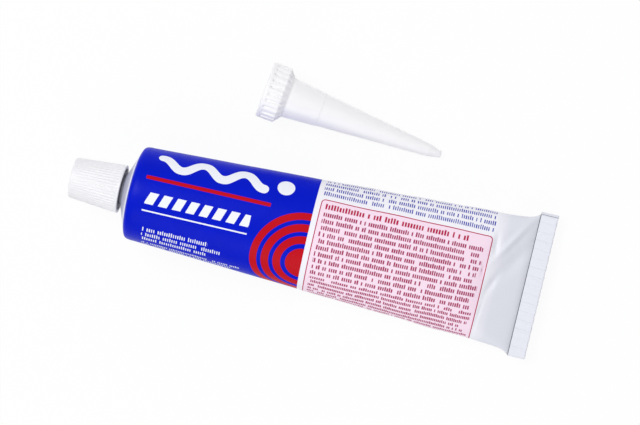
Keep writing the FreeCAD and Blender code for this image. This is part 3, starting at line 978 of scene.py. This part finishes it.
def plastic_material(name, colour, shade, roughness, sheen, scatter_mm, grain_mm):
    """White plastic that lets a little light in, and looks paler where it is seen edge on."""
    material, tree, shader = new_material(name)
    cloud = noise_signal(tree, size_mm=7.0, detail=3.0)
    tree.links.new(mix_colour(tree, cloud, colour, shade), shader.inputs["Base Color"])
    gloss = noise_signal(tree, size_mm=3.0, detail=3.0) * PLASTIC_ROUGHNESS_SPREAD
    gloss = gloss + (roughness - PLASTIC_ROUGHNESS_SPREAD / 2)
    tree.links.new(gloss.socket, shader.inputs["Roughness"])
    shader.inputs["Specular IOR Level"].default_value = PLASTIC_SPECULAR
    shader.inputs["Sheen Weight"].default_value = sheen
    shader.inputs["Subsurface Weight"].default_value = PLASTIC_SCATTER_SHARE
    shader.inputs["Subsurface Radius"].default_value = (1, 1, 1)
    shader.inputs["Subsurface Scale"].default_value = scatter_mm * MM
    add_bump(tree, shader, noise_signal(tree, size_mm=grain_mm, detail=3.0), PLASTIC_GRAIN_MM)
    return material


def foam_material():
    material, tree, shader = new_material("liner_foam")
    place = tree.nodes.new("ShaderNodeTexCoord")
    pores = tree.nodes.new("ShaderNodeTexVoronoi")
    pores.inputs["Scale"].default_value = 1 / (PORE_SIZE_MM * MM)
    tree.links.new(place.outputs["Object"], pores.inputs["Vector"])
    depth = Signal(tree, pores.outputs["Distance"])
    # Painted shade: the pores are darker towards their bottoms
    colour = mix_colour(tree, depth * FOAM_PALE_SHARE, FOAM_PORE_SHADE, FOAM_WHITE)
    tree.links.new(colour, shader.inputs["Base Color"])
    shader.inputs["Roughness"].default_value = FOAM_ROUGHNESS
    add_bump(tree, shader, depth, PORE_DEPTH_MM)
    return material


# Pieces

def dress(piece, body, material, node=None):
    """Give a piece its material and its body, and hide the solid that it stands in for."""
    piece.data.materials.append(material)
    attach(piece, body)
    if node:
        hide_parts(node)


def make_pieces():
    lacquer = tube_material()
    dress(make_tube_skin(), "tube", lacquer, "tube_body")
    for layer in make_band():
        dress(layer, "tube", lacquer)
    cap_plastic = plastic_material("cap_plastic", PLASTIC_WHITE, PLASTIC_SHADE,
                                   roughness=0.38, sheen=0.1, scatter_mm=0.6, grain_mm=0.6)
    dress(make_cap(), "cap", cap_plastic, "screw_cap")
    dress(make_liner(), "liner", foam_material(), "cap_liner")
    nozzle_plastic = plastic_material("nozzle_plastic", NOZZLE_WHITE, NOZZLE_SHADE,
                                      roughness=0.34, sheen=0.6, scatter_mm=0.5, grain_mm=0.8)
    dress(make_nozzle(), "tube", nozzle_plastic, "nozzle")


# Floor, light and camera

# Places and sizes are in metres, and lamps in watts
FLOOR_SIZE = 3.0
FLOOR_GREY = 0.9
FLOOR_GLOW_SHARE = 0.93
WORLD_COLOUR = (0.94, 0.935, 1.0, 1)
WORLD_STRENGTH = 0.56
LAMP_COLOUR = (1.0, 1.0, 0.955)
LAMPS = [
    dict(name="key", location=(-0.32, 0.25, 0.9), size=0.4, watts=4.3),
    dict(name="fill", location=(0.1, -0.7, 0.6), size=0.5, watts=1.5),
]
CAMERA_SENSOR_MM = 36.0
CAMERA_LENS_MM = 168.75
CAMERA_PLACE = (0.120538, 0.119101, 1.0015)
CAMERA_TURN = (-0.09548, 0.143363, 0.228426)


def make_floor():
    """A pale floor that keeps the object's shadow, and that looks white to the camera and in reflections."""
    bpy.ops.mesh.primitive_plane_add(size=FLOOR_SIZE)
    floor = bpy.context.object
    floor.name = "floor"
    material = bpy.data.materials.new("pale_floor")
    material.use_nodes = True
    tree = material.node_tree
    tree.nodes.clear()
    plain = tree.nodes.new("ShaderNodeBsdfDiffuse")
    plain.inputs["Color"].default_value = (FLOOR_GREY, FLOOR_GREY, FLOOR_GREY, 1)
    glow = tree.nodes.new("ShaderNodeEmission")
    glow.inputs["Strength"].default_value = 1.0
    path = tree.nodes.new("ShaderNodeLightPath")
    seen = Signal(tree, path.outputs["Is Camera Ray"]).high(
        Signal(tree, path.outputs["Is Glossy Ray"])).high(Signal(tree, path.outputs["Is Transmission Ray"]))
    share = seen * FLOOR_GLOW_SHARE
    blend = tree.nodes.new("ShaderNodeMixShader")
    tree.links.new(share.socket, blend.inputs[0])
    tree.links.new(plain.outputs[0], blend.inputs[1])
    tree.links.new(glow.outputs[0], blend.inputs[2])
    output = tree.nodes.new("ShaderNodeOutputMaterial")
    tree.links.new(blend.outputs[0], output.inputs["Surface"])
    floor.data.materials.append(material)


def add_lamp(name, location, size, watts):
    """A soft square panel of light that faces the object."""
    data = bpy.data.lights.new(name, "AREA")
    data.shape = "SQUARE"
    data.size = size
    data.energy = watts
    data.color = LAMP_COLOUR
    light = bpy.data.objects.new(name, data)
    light.location = location
    light.rotation_euler = (-Vector(location)).to_track_quat("-Z", "Y").to_euler()
    bpy.context.scene.collection.objects.link(light)


def make_light():
    world = bpy.data.worlds.new("studio")
    bpy.context.scene.world = world
    world.use_nodes = True
    background = world.node_tree.nodes["Background"]
    background.inputs["Color"].default_value = WORLD_COLOUR
    background.inputs["Strength"].default_value = WORLD_STRENGTH
    for lamp in LAMPS:
        add_lamp(**lamp)


def make_camera():
    """The camera's place and lens, fitted to the outline in the photo."""
    data = bpy.data.cameras.new("camera")
    data.sensor_width = CAMERA_SENSOR_MM
    data.lens = CAMERA_LENS_MM
    data.clip_start = 0.01
    data.clip_end = 20.0
    camera = bpy.data.objects.new("camera", data)
    camera.location = CAMERA_PLACE
    camera.rotation_euler = CAMERA_TURN
    bpy.context.scene.collection.objects.link(camera)
    bpy.context.scene.camera = camera


make_pieces()
make_floor()
make_light()
make_camera()
bpy.context.scene.view_settings.view_transform = "Standard"
